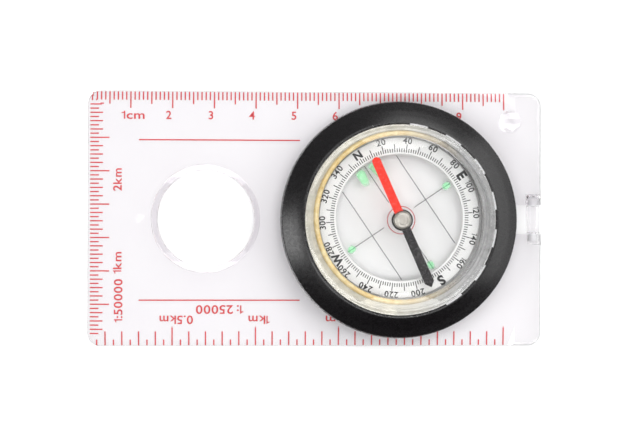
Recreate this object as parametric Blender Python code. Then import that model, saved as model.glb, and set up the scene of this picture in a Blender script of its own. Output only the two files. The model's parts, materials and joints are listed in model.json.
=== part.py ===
"""Baseplate compass: a clear plate with ruler edges and a magnifier, and a turning liquid-capsule
housing with a magnetic needle.

Metres, +Z up. The origin is the middle of the plate's underside. +X runs along the plate from the
zero of its long scale to the lanyard bar, and +Y runs across it. The housing's north is at its own
+Y, and the needle's north end is at the needle's own +Y.
"""

import math

import bmesh
import bpy
from mathutils import Matrix, Vector

MM = 0.001

# Plate
PLATE_LENGTH = 108.5 * MM
PLATE_WIDTH = 61.0 * MM
PLATE_THICKNESS = 3.0 * MM
CORNER_RADIUS = 3.2 * MM
TOP_ROUND = 0.6 * MM
FOOT_ROUND = 0.12 * MM
RULER_BEVEL_WIDTH = 4.6 * MM
RULER_BEVEL_DROP = 1.0 * MM
RULER_BEVEL_END_X = 46.2 * MM
RUN_OUT_SLOPE = 1.6
PIP_X = -41.9 * MM
PIP_RADIUS = 1.1 * MM
PIP_HEIGHT = 0.5 * MM

# Magnifier
LENS_X = -26.2 * MM
LENS_SEAT_RADIUS = 13.0 * MM
LENS_LEDGE_RADIUS = 12.0 * MM
LENS_LEDGE_HEIGHT = 0.8 * MM
LENS_CLEAR_RADIUS = 11.35 * MM
LENS_DOME_HEIGHT = 1.6 * MM

# Lanyard bar across the notch in the plate's end
NOTCH_START_X = 46.9 * MM
NOTCH_HALF_WIDTH = 3.5 * MM
BAR_X = 52.75 * MM
BAR_WIDTH = 3.0 * MM
BAR_THICKNESS = 2.4 * MM
BAR_Z = 1.6 * MM
BAR_PEG_RADIUS = 0.8 * MM
BAR_PEG_LENGTH = 1.4 * MM
LUG_RADIUS = 1.5 * MM
LUG_OUTER_Y = 5.6 * MM
LUG_LOW_Z = 0.1 * MM

# Bumper stud
STUD_X = 46.9 * MM
STUD_Y = 23.5 * MM
STUD_FOOT_RADIUS = 2.75 * MM
STUD_TOP_RADIUS = 2.15 * MM
STUD_HEIGHT = 2.1 * MM

# Housing: radii from its axis, heights from the plate's underside
HOUSING_X = 20.0 * MM
HOUSING_Y = -0.18 * MM
HOUSING_TURN = math.radians(34.1)
GAP = 0.3 * MM
BEZEL_RADIUS = 28.4 * MM
BEZEL_WALL_DRAFT = 0.35 * MM
BEZEL_CREASE_RADIUS = 24.4 * MM
BEZEL_BORE_RADIUS = 22.6 * MM
BEZEL_NOTCH_RADIUS = 23.1 * MM
BEZEL_LOW_Z = PLATE_THICKNESS + GAP
BEZEL_SHOULDER_Z = 6.0 * MM
BEZEL_CREASE_Z = 7.8 * MM
BEZEL_TOP_Z = 8.3 * MM
SLEEVE_RADIUS = 24.1 * MM
SLEEVE_LOW_Z = 1.5 * MM
PLATE_BORE_RADIUS = SLEEVE_RADIUS + GAP
COUNTERBORE_RADIUS = 26.0 * MM
NOTCH_COUNT = 16
NOTCH_DEGREES = 11.25
NOTCH_FLOOR_Z = 6.9 * MM

RETAINER_INNER_RADIUS = 22.5 * MM
RETAINER_LOW_Z = 0.3 * MM
RETAINER_HIGH_Z = SLEEVE_LOW_Z - GAP

FRICTION_INNER_RADIUS = 24.8 * MM
FRICTION_OUTER_RADIUS = 25.5 * MM
FRICTION_HEIGHT = 0.5 * MM

# Capsule
CAPSULE_RADIUS = BEZEL_BORE_RADIUS - GAP
CAPSULE_LOW_Z = 0.4 * MM
CAPSULE_FLOOR_Z = 1.8 * MM
CAPSULE_RIM_Z = NOTCH_FLOOR_Z
CAVITY_RADIUS = 20.0 * MM
SEAL_INNER_RADIUS = 19.05 * MM
SEAL_OUTER_RADIUS = 20.4 * MM
SEAL_SEAT_Z = 6.1 * MM
PIVOT_BOSS_RADIUS = 3.45 * MM
PIVOT_BOSS_Z = 2.6 * MM
COVER_LOW_Z = CAPSULE_RIM_Z + GAP
COVER_TOP_Z = 9.2 * MM
COVER_EDGE_Z = 8.7 * MM
COVER_SHOULDER_Z = 8.35 * MM
TAB_RADIUS = BEZEL_NOTCH_RADIUS - GAP
TAB_HIGH_Z = 8.1 * MM
TAB_DEGREES = 9.6

# The dial and the pivot each sit a little off the housing's axis, in the housing's own frame.
DIAL_X = 0.44 * MM
DIAL_Y = 0.35 * MM
PIVOT_X = 0.48 * MM
PIVOT_Y = -0.40 * MM

DIAL_INNER_RADIUS = 15.1 * MM
DIAL_OUTER_RADIUS = 19.1 * MM
DIAL_LOW_Z = CAPSULE_FLOOR_Z + GAP
DIAL_HEIGHT = 1.0 * MM

FILL_PLUG_AT = 17.4 * MM
FILL_PLUG_ANGLE = math.radians(-15.0)
FILL_PLUG_RADIUS = 1.0 * MM

# Luminous inlays
LUME_HEIGHT = 0.2 * MM
LUME_OUTER = 14.7 * MM
NORTH_LUME_INNER = 10.2 * MM
NORTH_LUME_SIDE = 2.9 * MM
POINT_LUME_INNER = 12.6 * MM
POINT_LUME_WIDTH = 1.8 * MM

# Needle
NEEDLE_TURN = math.radians(23.85)
NEEDLE_Z = 4.9 * MM
NEEDLE_THICKNESS = 0.4 * MM
NEEDLE_NORTH = 16.2 * MM
NEEDLE_SOUTH = 17.4 * MM
NEEDLE_HALF_WIDTH = 1.05 * MM
NEEDLE_TAIL_HALF_WIDTH = 1.18 * MM
NEEDLE_GABLE = 1.3 * MM
NEEDLE_HUB_RADIUS = 2.55 * MM
NEEDLE_EYE_RADIUS = 1.3 * MM
CUP_RADIUS = 1.0 * MM
CUP_LOW_Z = 4.3 * MM
CUP_HIGH_Z = 6.0 * MM
CAP_RADIUS = 2.3 * MM
CAP_LOW_Z = NEEDLE_Z + NEEDLE_THICKNESS + GAP
CAP_TOP_Z = 6.75 * MM
PIN_RADIUS = 0.45 * MM
PIN_LOW_Z = 1.3 * MM
PIN_TIP_Z = 5.3 * MM

RING_STEPS = 64
LENS_STEPS = 48
SMALL_STEPS = 24


def clear_scene():
    for obj in list(bpy.data.objects):
        bpy.data.objects.remove(obj, do_unlink=True)


def material(name, colour, roughness, metallic=0.0, alpha=1.0):
    mat = bpy.data.materials.new(name)
    mat.use_nodes = True
    shader = mat.node_tree.nodes["Principled BSDF"]
    shader.inputs["Base Color"].default_value = (*colour, 1.0)
    shader.inputs["Roughness"].default_value = roughness
    shader.inputs["Metallic"].default_value = metallic
    shader.inputs["Alpha"].default_value = alpha
    return mat


def add_object(name, bm, mat=None, parent=None):
    """Turns a bmesh into a named object, with its faces pointing out and round faces smooth."""
    bmesh.ops.remove_doubles(bm, verts=bm.verts, dist=1e-7)
    bmesh.ops.recalc_face_normals(bm, faces=bm.faces)
    mesh = bpy.data.meshes.new(name)
    bm.to_mesh(mesh)
    bm.free()
    mesh.shade_smooth()
    mesh.set_sharp_from_angle(angle=math.radians(30))
    if mat is not None:
        mesh.materials.append(mat)
    obj = bpy.data.objects.new(name, mesh)
    bpy.context.scene.collection.objects.link(obj)
    obj.parent = parent
    return obj


def as_cutter(obj):
    obj.hide_render = True
    obj.display_type = "WIRE"
    return obj


def boolean(obj, other, operation="DIFFERENCE"):
    modifier = obj.modifiers.new(f"{operation.lower()}_{other.name}", "BOOLEAN")
    modifier.operation = operation
    modifier.solver = "EXACT"
    modifier.object = as_cutter(other)


def axis_empty(name, location, turn, parent=None):
    """An empty on a joint's axis. Its children are drawn in its own frame."""
    empty = bpy.data.objects.new(name, None)
    bpy.context.scene.collection.objects.link(empty)
    empty.location = location
    empty.rotation_euler = (0.0, 0.0, turn)
    empty.parent = parent
    return empty


def turned(profile, steps, closed=True):
    """A solid turned about Z from (radius, height) points. An open profile starts and ends on Z."""
    bm = bmesh.new()
    points = [bm.verts.new((radius, 0.0, height)) for radius, height in profile]
    edges = [bm.edges.new(pair) for pair in zip(points, points[1:])]
    if closed:
        edges.append(bm.edges.new((points[-1], points[0])))
    bmesh.ops.spin(
        bm,
        geom=points + edges,
        axis=(0.0, 0.0, 1.0),
        cent=(0.0, 0.0, 0.0),
        angle=math.tau,
        steps=steps,
        use_merge=True,
    )
    return bm


def extruded(outline, low, high):
    """A prism on a flat outline of (x, y) points, from height low to height high."""
    bm = bmesh.new()
    face = bm.faces.new([bm.verts.new((x, y, low)) for x, y in outline])
    raised = bmesh.ops.extrude_face_region(bm, geom=[face])["geom"]
    top = [part for part in raised if isinstance(part, bmesh.types.BMVert)]
    bmesh.ops.translate(bm, verts=top, vec=(0.0, 0.0, high - low))
    return bm


def arc(centre, radius, start, end, steps):
    """Points on an arc from angle start to angle end, both ends included."""
    angles = [start + (end - start) * i / steps for i in range(steps + 1)]
    return [(centre[0] + radius * math.cos(a), centre[1] + radius * math.sin(a)) for a in angles]


def circle(centre, radius, steps=SMALL_STEPS):
    """Points round a whole circle, with the first not repeated at the end."""
    return arc(centre, radius, 0.0, math.tau, steps)[:-1]


def rounded_rectangle(low, high, radius, steps=6):
    corners = (
        ((high[0] - radius, high[1] - radius), 0.0),
        ((low[0] + radius, high[1] - radius), 0.5 * math.pi),
        ((low[0] + radius, low[1] + radius), math.pi),
        ((high[0] - radius, low[1] + radius), 1.5 * math.pi),
    )
    return [
        point
        for centre, start in corners
        for point in arc(centre, radius, start, start + 0.5 * math.pi, steps)
    ]


def along_x(bm):
    """Lays a prism drawn in (y, z) and extruded upwards so that it runs along X."""
    bm.transform(Matrix(((0, 0, 1, 0), (1, 0, 0, 0), (0, 1, 0, 0), (0, 0, 0, 1))))
    return bm


def along_y(bm):
    """Lays a prism drawn in (x, z) and extruded upwards so that it runs along Y."""
    bm.transform(Matrix(((1, 0, 0, 0), (0, 0, 1, 0), (0, 1, 0, 0), (0, 0, 0, 1))))
    return bm


def moved(bm, x=0.0, y=0.0, z=0.0):
    bm.transform(Matrix.Translation(Vector((x, y, z))))
    return bm


def ring_of_blocks(inner, outer, low, high, degrees, count):
    """Equal ring segments, one closed block each, with the first centred on +Y."""
    half = math.radians(degrees) / 2
    combined = bmesh.new()
    for i in range(count):
        middle = 0.5 * math.pi + math.tau * i / count
        outside = arc((0.0, 0.0), outer, middle - half, middle + half, 2)
        inside = arc((0.0, 0.0), inner, middle + half, middle - half, 2)
        block = extruded(outside + inside, low, high)
        mesh = bpy.data.meshes.new("block")
        block.to_mesh(mesh)
        block.free()
        combined.from_mesh(mesh)
        bpy.data.meshes.remove(mesh)
    return combined


def ruler_bevel(name, inner_edge, start_x, end_x, side):
    """A wedge that thins one long edge of the plate and runs out in a ramp at its +X end.

    side is +1 for the +Y edge and -1 for the -Y edge.
    """
    spill = 1.0 * MM
    slope = RULER_BEVEL_DROP / RULER_BEVEL_WIDTH
    outer = inner_edge + RULER_BEVEL_WIDTH + spill
    deepest_z = PLATE_THICKNESS - slope * (RULER_BEVEL_WIDTH + spill)
    wedge = [
        (side * inner_edge, PLATE_THICKNESS),
        (side * outer, deepest_z),
        (side * outer, PLATE_THICKNESS + spill),
        (side * inner_edge, PLATE_THICKNESS + spill),
    ]
    bm = along_x(extruded(wedge, start_x, end_x))
    for vertex in bm.verts:
        if vertex.co.x > start_x + spill:
            vertex.co.x += RUN_OUT_SLOPE * (vertex.co.z - deepest_z)
    return add_object(name, bm)


def end_bevel():
    """The wedge that thins the short -X edge, which carries the short scale."""
    spill = 1.0 * MM
    slope = RULER_BEVEL_DROP / RULER_BEVEL_WIDTH
    inner = -PLATE_LENGTH / 2 + RULER_BEVEL_WIDTH
    outer = inner - RULER_BEVEL_WIDTH - spill
    wedge = [
        (inner, PLATE_THICKNESS),
        (inner, PLATE_THICKNESS + spill),
        (outer, PLATE_THICKNESS + spill),
        (outer, PLATE_THICKNESS - slope * (RULER_BEVEL_WIDTH + spill)),
    ]
    reach = PLATE_WIDTH / 2 + spill
    return add_object("end_bevel_cutter", along_y(extruded(wedge, -reach, reach)))


def plate_blank():
    half_x = PLATE_LENGTH / 2
    half_y = PLATE_WIDTH / 2
    outline = rounded_rectangle((-half_x, -half_y), (half_x, half_y), CORNER_RADIUS, steps=7)
    bm = extruded(outline, 0.0, PLATE_THICKNESS)
    for height, radius in ((PLATE_THICKNESS, TOP_ROUND), (0.0, FOOT_ROUND)):
        rim = [e for e in bm.edges if all(abs(v.co.z - height) < 1e-9 for v in e.verts)]
        bmesh.ops.bevel(bm, geom=rim, offset=radius, segments=2, profile=0.5, affect="EDGES")
    return bm


def stepped_hole(name, place, low_radius, step_z, high_radius, steps):
    """A cutter for a round hole that changes its radius at height step_z."""
    spill = 1.0 * MM
    profile = [
        (0.0, PLATE_THICKNESS + spill),
        (high_radius, PLATE_THICKNESS + spill),
        (high_radius, step_z),
        (low_radius, step_z),
        (low_radius, -spill),
        (0.0, -spill),
    ]
    return add_object(name, moved(turned(profile, steps, closed=False), place[0], place[1]))


def lug(name, side):
    """A rounded boss beside the notch, which holds one end of the lanyard bar."""
    centre = (BAR_X, LUG_LOW_Z + LUG_RADIUS)
    lug_reach = LUG_RADIUS + 0.3 * MM
    outline = rounded_rectangle(
        (BAR_X - lug_reach, LUG_LOW_Z),
        (BAR_X + lug_reach, centre[1] + LUG_RADIUS + 0.4 * MM),
        LUG_RADIUS,
    )
    overlap = 0.5 * MM
    near, far = sorted((side * (NOTCH_HALF_WIDTH - overlap), side * LUG_OUTER_Y))
    return add_object(name, along_y(extruded(outline, near, far)))


def lug_holes():
    reach = NOTCH_HALF_WIDTH + BAR_PEG_LENGTH + GAP
    hole = circle((BAR_X, BAR_Z), BAR_PEG_RADIUS + GAP)
    return add_object("lug_hole_cutter", along_y(extruded(hole, -reach, reach)))


def make_baseplate(mat):
    plate = add_object("baseplate", plate_blank(), mat)
    inner_y = PLATE_WIDTH / 2 - RULER_BEVEL_WIDTH
    start_x = -PLATE_LENGTH / 2 - 1.0 * MM
    boolean(plate, ruler_bevel("bevel_cutter_high", inner_y, start_x, RULER_BEVEL_END_X, 1))
    boolean(plate, ruler_bevel("bevel_cutter_low", inner_y, start_x, RULER_BEVEL_END_X, -1))
    boolean(plate, end_bevel())
    lens_seat = stepped_hole(
        "lens_seat_cutter",
        (LENS_X, 0.0),
        LENS_LEDGE_RADIUS,
        LENS_LEDGE_HEIGHT,
        LENS_SEAT_RADIUS,
        LENS_STEPS,
    )
    boolean(plate, lens_seat)
    housing_seat = stepped_hole(
        "housing_seat_cutter",
        (HOUSING_X, HOUSING_Y),
        COUNTERBORE_RADIUS,
        SLEEVE_LOW_Z,
        PLATE_BORE_RADIUS,
        RING_STEPS,
    )
    boolean(plate, housing_seat)
    notch = [
        (NOTCH_START_X, -NOTCH_HALF_WIDTH),
        (PLATE_LENGTH / 2 + 1.0 * MM, -NOTCH_HALF_WIDTH),
        (PLATE_LENGTH / 2 + 1.0 * MM, NOTCH_HALF_WIDTH),
        (NOTCH_START_X, NOTCH_HALF_WIDTH),
    ]
    boolean(plate, lug("lug_high", 1), "UNION")
    boolean(plate, lug("lug_low", -1), "UNION")
    boolean(plate, add_object("notch_cutter", extruded(notch, -1.0 * MM, PLATE_THICKNESS + 1.0 * MM)))
    boolean(plate, lug_holes())
    pip = [
        (0.0, PLATE_THICKNESS + PIP_HEIGHT),
        (0.6 * PIP_RADIUS, PLATE_THICKNESS + 0.85 * PIP_HEIGHT),
        (PIP_RADIUS, PLATE_THICKNESS),
        (PIP_RADIUS, 0.5 * PLATE_THICKNESS),
        (0.0, 0.5 * PLATE_THICKNESS),
    ]
    pip_body = moved(turned(pip, SMALL_STEPS, closed=False), x=PIP_X)
    boolean(plate, add_object("pip_body", pip_body), "UNION")


def make_magnifier_lens(mat):
    rim_radius = LENS_SEAT_RADIUS - GAP
    rim_low = LENS_LEDGE_HEIGHT + GAP
    rim_high = PLATE_THICKNESS - 0.2 * MM
    foot_radius = LENS_LEDGE_RADIUS - GAP
    sphere = (LENS_CLEAR_RADIUS**2 + LENS_DOME_HEIGHT**2) / (2 * LENS_DOME_HEIGHT)
    dome_steps = 6
    dome = []
    for i in range(dome_steps + 1):
        radius = LENS_CLEAR_RADIUS * i / dome_steps
        sag = sphere - math.sqrt(sphere**2 - radius**2)
        dome.append((radius, rim_high + LENS_DOME_HEIGHT - sag))
    profile = dome + [
        (rim_radius, rim_high),
        (rim_radius, rim_low),
        (foot_radius, rim_low),
        (foot_radius, GAP),
        (0.0, GAP),
    ]
    add_object("magnifier_lens", moved(turned(profile, LENS_STEPS, closed=False), x=LENS_X), mat)


def make_lanyard_bar(mat):
    half_width = BAR_WIDTH / 2
    half_thickness = BAR_THICKNESS / 2
    outline = rounded_rectangle(
        (BAR_X - half_width, BAR_Z - half_thickness),
        (BAR_X + half_width, BAR_Z + half_thickness),
        0.9 * MM,
        steps=4,
    )
    half_length = NOTCH_HALF_WIDTH - GAP
    bar = add_object("lanyard_bar", along_y(extruded(outline, -half_length, half_length)), mat)
    peg_reach = NOTCH_HALF_WIDTH + BAR_PEG_LENGTH
    peg = circle((BAR_X, BAR_Z), BAR_PEG_RADIUS)
    pegs = add_object("bar_pegs", along_y(extruded(peg, -peg_reach, peg_reach)))
    boolean(bar, pegs, "UNION")


def make_bumper_stud(mat):
    low = PLATE_THICKNESS + GAP
    high = low + STUD_HEIGHT
    profile = [
        (0.0, high),
        (STUD_TOP_RADIUS - 0.4 * MM, high - 0.05 * MM),
        (STUD_TOP_RADIUS, high - 0.3 * MM),
        (STUD_FOOT_RADIUS - 0.2 * MM, low + 0.5 * MM),
        (STUD_FOOT_RADIUS, low),
        (0.0, low),
    ]
    body = moved(turned(profile, SMALL_STEPS, closed=False), x=STUD_X, y=STUD_Y)
    add_object("bumper_stud", body, mat)


def make_bezel_ring(mat, axis):
    groove_inner = FRICTION_INNER_RADIUS - GAP
    groove_outer = FRICTION_OUTER_RADIUS + GAP
    groove_top = BEZEL_LOW_Z + FRICTION_HEIGHT + GAP
    shoulder = BEZEL_RADIUS - BEZEL_WALL_DRAFT
    profile = [
        (BEZEL_BORE_RADIUS, BEZEL_TOP_Z),
        (BEZEL_NOTCH_RADIUS + 0.2 * MM, BEZEL_TOP_Z),
        (BEZEL_CREASE_RADIUS, BEZEL_CREASE_Z),
        (shoulder - 0.15 * MM, BEZEL_SHOULDER_Z),
        (shoulder, BEZEL_SHOULDER_Z - 0.15 * MM),
        (BEZEL_RADIUS, BEZEL_LOW_Z + 0.3 * MM),
        (BEZEL_RADIUS - 0.3 * MM, BEZEL_LOW_Z),
        (groove_outer, BEZEL_LOW_Z),
        (groove_outer, groove_top),
        (groove_inner, groove_top),
        (groove_inner, BEZEL_LOW_Z),
        (SLEEVE_RADIUS, BEZEL_LOW_Z),
        (SLEEVE_RADIUS, SLEEVE_LOW_Z),
        (BEZEL_BORE_RADIUS, SLEEVE_LOW_Z),
    ]
    bezel = add_object("bezel_ring", turned(profile, RING_STEPS), mat, axis)
    notches = ring_of_blocks(
        BEZEL_BORE_RADIUS - 1.0 * MM,
        BEZEL_NOTCH_RADIUS,
        NOTCH_FLOOR_Z,
        BEZEL_TOP_Z + 1.0 * MM,
        NOTCH_DEGREES,
        NOTCH_COUNT,
    )
    boolean(bezel, add_object("bezel_notch_cutter", notches, parent=axis))


def flat_ring(name, inner, outer, low, high, mat, axis):
    profile = [(inner, high), (outer, high), (outer, low), (inner, low)]
    return add_object(name, turned(profile, RING_STEPS), mat, axis)


def fill_hole_place():
    return (
        -FILL_PLUG_AT * math.sin(FILL_PLUG_ANGLE),
        -FILL_PLUG_AT * math.cos(FILL_PLUG_ANGLE),
    )


def make_capsule_base(mat, axis, pivot):
    """The cup: a floor with the pivot boss, and a wall with a seat for the seal inside its rim."""
    seat_radius = SEAL_OUTER_RADIUS + GAP
    profile = [
        (0.0, CAPSULE_FLOOR_Z),
        (CAVITY_RADIUS, CAPSULE_FLOOR_Z),
        (CAVITY_RADIUS, SEAL_SEAT_Z),
        (seat_radius, SEAL_SEAT_Z),
        (seat_radius, CAPSULE_RIM_Z),
        (CAPSULE_RADIUS, CAPSULE_RIM_Z),
        (CAPSULE_RADIUS, CAPSULE_LOW_Z),
        (0.0, CAPSULE_LOW_Z),
    ]
    base = add_object("capsule_base", turned(profile, RING_STEPS, closed=False), mat, axis)
    middle = (0.0, 0.0)
    boss_foot = CAPSULE_FLOOR_Z - 0.5 * MM
    boss = extruded(circle(middle, PIVOT_BOSS_RADIUS), boss_foot, PIVOT_BOSS_Z)
    boolean(base, add_object("pivot_boss", boss, parent=pivot), "UNION")
    pin_hole = circle(middle, PIN_RADIUS + GAP)
    hole = extruded(pin_hole, PIN_LOW_Z - GAP, PIVOT_BOSS_Z + 1.0 * MM)
    boolean(base, add_object("pin_hole_cutter", hole, parent=pivot))
    fill_hole = circle(fill_hole_place(), FILL_PLUG_RADIUS + GAP)
    hole = extruded(fill_hole, CAPSULE_LOW_Z - 1.0 * MM, CAPSULE_FLOOR_Z + 1.0 * MM)
    boolean(base, add_object("fill_hole_cutter", hole, parent=axis))


def make_fill_plug(mat, axis):
    plug = circle(fill_hole_place(), FILL_PLUG_RADIUS)
    add_object("fill_plug", extruded(plug, CAPSULE_LOW_Z, CAPSULE_FLOOR_Z), mat, axis)


def make_capsule_cover(mat, axis):
    """The clear lid: a disc with a slight dome, and tabs that lock in the bezel's notches."""
    crown_start = 0.6 * CAPSULE_RADIUS
    profile = [
        (0.0, COVER_TOP_Z),
        (crown_start, COVER_TOP_Z - 0.16 * MM),
        (CAPSULE_RADIUS - 1.0 * MM, COVER_EDGE_Z),
        (CAPSULE_RADIUS - 0.3 * MM, COVER_EDGE_Z - 0.12 * MM),
        (CAPSULE_RADIUS, COVER_SHOULDER_Z),
        (CAPSULE_RADIUS, COVER_LOW_Z),
        (0.0, COVER_LOW_Z),
    ]
    cover = add_object("capsule_cover", turned(profile, RING_STEPS, closed=False), mat, axis)
    tabs = ring_of_blocks(
        CAPSULE_RADIUS - 0.4 * MM,
        TAB_RADIUS,
        COVER_LOW_Z,
        TAB_HIGH_Z,
        TAB_DEGREES,
        NOTCH_COUNT,
    )
    boolean(cover, add_object("cover_tabs", tabs, parent=axis), "UNION")


def make_dial_ring(mat, axis):
    high = DIAL_LOW_Z + DIAL_HEIGHT
    edge = 0.15 * MM
    profile = [
        (DIAL_INNER_RADIUS, high - edge),
        (DIAL_INNER_RADIUS + edge, high),
        (DIAL_OUTER_RADIUS, high),
        (DIAL_OUTER_RADIUS, DIAL_LOW_Z),
        (DIAL_INNER_RADIUS, DIAL_LOW_Z),
    ]
    add_object("dial_ring", turned(profile, RING_STEPS), mat, axis)


def make_pivot_pin(mat, pivot):
    profile = [
        (0.0, PIN_TIP_Z),
        (0.06 * MM, PIN_TIP_Z - 0.05 * MM),
        (PIN_RADIUS, PIN_TIP_Z - 1.2 * MM),
        (PIN_RADIUS, PIN_LOW_Z),
        (0.0, PIN_LOW_Z),
    ]
    add_object("pivot_pin", turned(profile, SMALL_STEPS, closed=False), mat, pivot)


def north_lume_outline(side):
    """A wedge beside the north line, wide at the dial ring and narrow towards the pivot."""
    near_ring = 0.45 * MM
    near_pivot = 1.4 * MM
    ring_reach = math.sqrt(LUME_OUTER**2 - NORTH_LUME_SIDE**2)
    return [
        (side * near_ring, LUME_OUTER - 0.05 * MM),
        (side * near_pivot, NORTH_LUME_INNER),
        (side * NORTH_LUME_SIDE, NORTH_LUME_INNER + 0.4 * MM),
        (side * NORTH_LUME_SIDE, ring_reach),
    ]


def make_lume(mat, axis):
    low = DIAL_LOW_Z
    for name, side in (("lume_north_left", -1), ("lume_north_right", 1)):
        add_object(name, extruded(north_lume_outline(side), low, low + LUME_HEIGHT), mat, axis)
    half = POINT_LUME_WIDTH / 2
    quarter_turns = (("lume_west", 1), ("lume_south", 2), ("lume_east", 3))
    for name, quarters in quarter_turns:
        outline = rounded_rectangle((-half, POINT_LUME_INNER), (half, LUME_OUTER), 0.7 * MM, 4)
        inlay = extruded(outline, low, low + LUME_HEIGHT)
        inlay.transform(Matrix.Rotation(quarters * math.pi / 2, 4, "Z"))
        add_object(name, inlay, mat, axis)


def make_needle_blade(mat, axis):
    """One strip: a round-ended north arm, a round hub and a gable-ended south arm."""
    hub_side = math.asin(NEEDLE_HALF_WIDTH / NEEDLE_HUB_RADIUS)
    tip_centre = (0.0, NEEDLE_NORTH - NEEDLE_HALF_WIDTH)
    shoulder = -(NEEDLE_SOUTH - NEEDLE_GABLE)
    up = 0.5 * math.pi
    outline = arc(tip_centre, NEEDLE_HALF_WIDTH, 0.0, math.pi, 10)
    outline += arc((0.0, 0.0), NEEDLE_HUB_RADIUS, up + hub_side, 3 * up - hub_side, 12)
    outline += [
        (-NEEDLE_TAIL_HALF_WIDTH, shoulder),
        (0.0, -NEEDLE_SOUTH),
        (NEEDLE_TAIL_HALF_WIDTH, shoulder),
    ]
    outline += arc((0.0, 0.0), NEEDLE_HUB_RADIUS, hub_side - up, up - hub_side, 12)
    blade = add_object(
        "needle_blade", extruded(outline, NEEDLE_Z, NEEDLE_Z + NEEDLE_THICKNESS), mat, axis
    )
    eye = circle((0.0, 0.0), NEEDLE_EYE_RADIUS)
    cutter = extruded(eye, NEEDLE_Z - 1.0 * MM, NEEDLE_Z + 1.0 * MM)
    boolean(blade, add_object("needle_eye_cutter", cutter, parent=axis))


def make_jewel_cup(mat, axis):
    """The bearing that rides on the pin's tip: a cylinder with a conical hollow below."""
    profile = [
        (0.0, CUP_HIGH_Z),
        (CUP_RADIUS, CUP_HIGH_Z),
        (CUP_RADIUS, CUP_LOW_Z),
        (0.8 * CUP_RADIUS, CUP_LOW_Z),
        (0.2 * CUP_RADIUS, PIN_TIP_Z + 0.3 * MM),
        (0.0, PIN_TIP_Z + 0.4 * MM),
    ]
    add_object("jewel_cup", turned(profile, SMALL_STEPS, closed=False), mat, axis)


def make_needle_cap(mat, axis):
    hollow = CUP_RADIUS + GAP
    hollow_top = CUP_HIGH_Z + GAP
    rise = CAP_TOP_Z - CAP_LOW_Z
    dome_steps = 5
    dome = []
    for i in range(dome_steps + 1):
        angle = 0.5 * math.pi * i / dome_steps
        height = CAP_LOW_Z + 0.25 * rise + 0.75 * rise * math.cos(angle)
        dome.append((CAP_RADIUS * math.sin(angle), height))
    profile = dome + [
        (CAP_RADIUS, CAP_LOW_Z),
        (hollow, CAP_LOW_Z),
        (hollow, hollow_top - 0.1 * MM),
        (0.0, hollow_top),
    ]
    add_object("needle_cap", turned(profile, SMALL_STEPS, closed=False), mat, axis)


def build():
    clear_scene()
    acrylic = material("clear_acrylic", (0.93, 0.93, 0.95), 0.08, alpha=0.35)
    lens_acrylic = material("lens_acrylic", (0.97, 0.97, 0.98), 0.03, alpha=0.35)
    black = material("black_plastic", (0.03, 0.03, 0.035), 0.42)
    nylon = material("white_nylon", (0.85, 0.84, 0.80), 0.5)
    amber = material("amber_seal", (0.87, 0.66, 0.24), 0.35)
    dial_white = material("dial_white", (0.88, 0.88, 0.87), 0.4)
    steel = material("steel", (0.6, 0.6, 0.6), 0.3, metallic=1.0)
    brass = material("brass", (0.78, 0.62, 0.35), 0.3, metallic=1.0)
    lume = material("luminous_green", (0.48, 0.92, 0.55), 0.6)
    red = material("needle_red", (0.9, 0.06, 0.03), 0.4)
    silver = material("cap_silver", (0.68, 0.66, 0.6), 0.35, metallic=0.8)

    make_baseplate(acrylic)
    make_magnifier_lens(lens_acrylic)
    make_lanyard_bar(acrylic)
    make_bumper_stud(acrylic)

    housing = axis_empty("housing_axis", (HOUSING_X, HOUSING_Y, 0.0), HOUSING_TURN)
    dial = axis_empty("dial_centre", (DIAL_X, DIAL_Y, 0.0), 0.0, housing)
    pivot = axis_empty("pivot", (PIVOT_X, PIVOT_Y, 0.0), 0.0, housing)
    make_bezel_ring(black, housing)
    flat_ring(
        "retaining_ring",
        RETAINER_INNER_RADIUS,
        COUNTERBORE_RADIUS - GAP,
        RETAINER_LOW_Z,
        RETAINER_HIGH_Z,
        black,
        housing,
    )
    flat_ring(
        "friction_ring",
        FRICTION_INNER_RADIUS,
        FRICTION_OUTER_RADIUS,
        BEZEL_LOW_Z,
        BEZEL_LOW_Z + FRICTION_HEIGHT,
        nylon,
        housing,
    )
    make_capsule_base(acrylic, housing, pivot)
    make_capsule_cover(acrylic, housing)
    flat_ring(
        "capsule_seal",
        SEAL_INNER_RADIUS,
        SEAL_OUTER_RADIUS,
        SEAL_SEAT_Z + GAP,
        CAPSULE_RIM_Z,
        amber,
        housing,
    )
    make_dial_ring(dial_white, dial)
    make_fill_plug(dial_white, housing)
    make_pivot_pin(steel, pivot)
    make_lume(lume, dial)

    needle = axis_empty("needle_axis", (0.0, 0.0, 0.0), NEEDLE_TURN - HOUSING_TURN, pivot)
    make_needle_blade(red, needle)
    make_jewel_cup(brass, needle)
    make_needle_cap(silver, needle)


build()
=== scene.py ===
"""Looks of the baseplate compass: finished meshes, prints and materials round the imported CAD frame.

Metres, in the CAD's own frame: the origin is the middle of the plate's underside, X runs along the
plate, Y across it and Z up. Pieces of the housing are drawn in the housing's frame, whose +Y is the
dial's north, and pieces of the needle in the needle's frame, whose +Y is its red end.
"""

import json
import math

import bmesh
import bpy
from mathutils import Matrix, Vector


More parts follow.
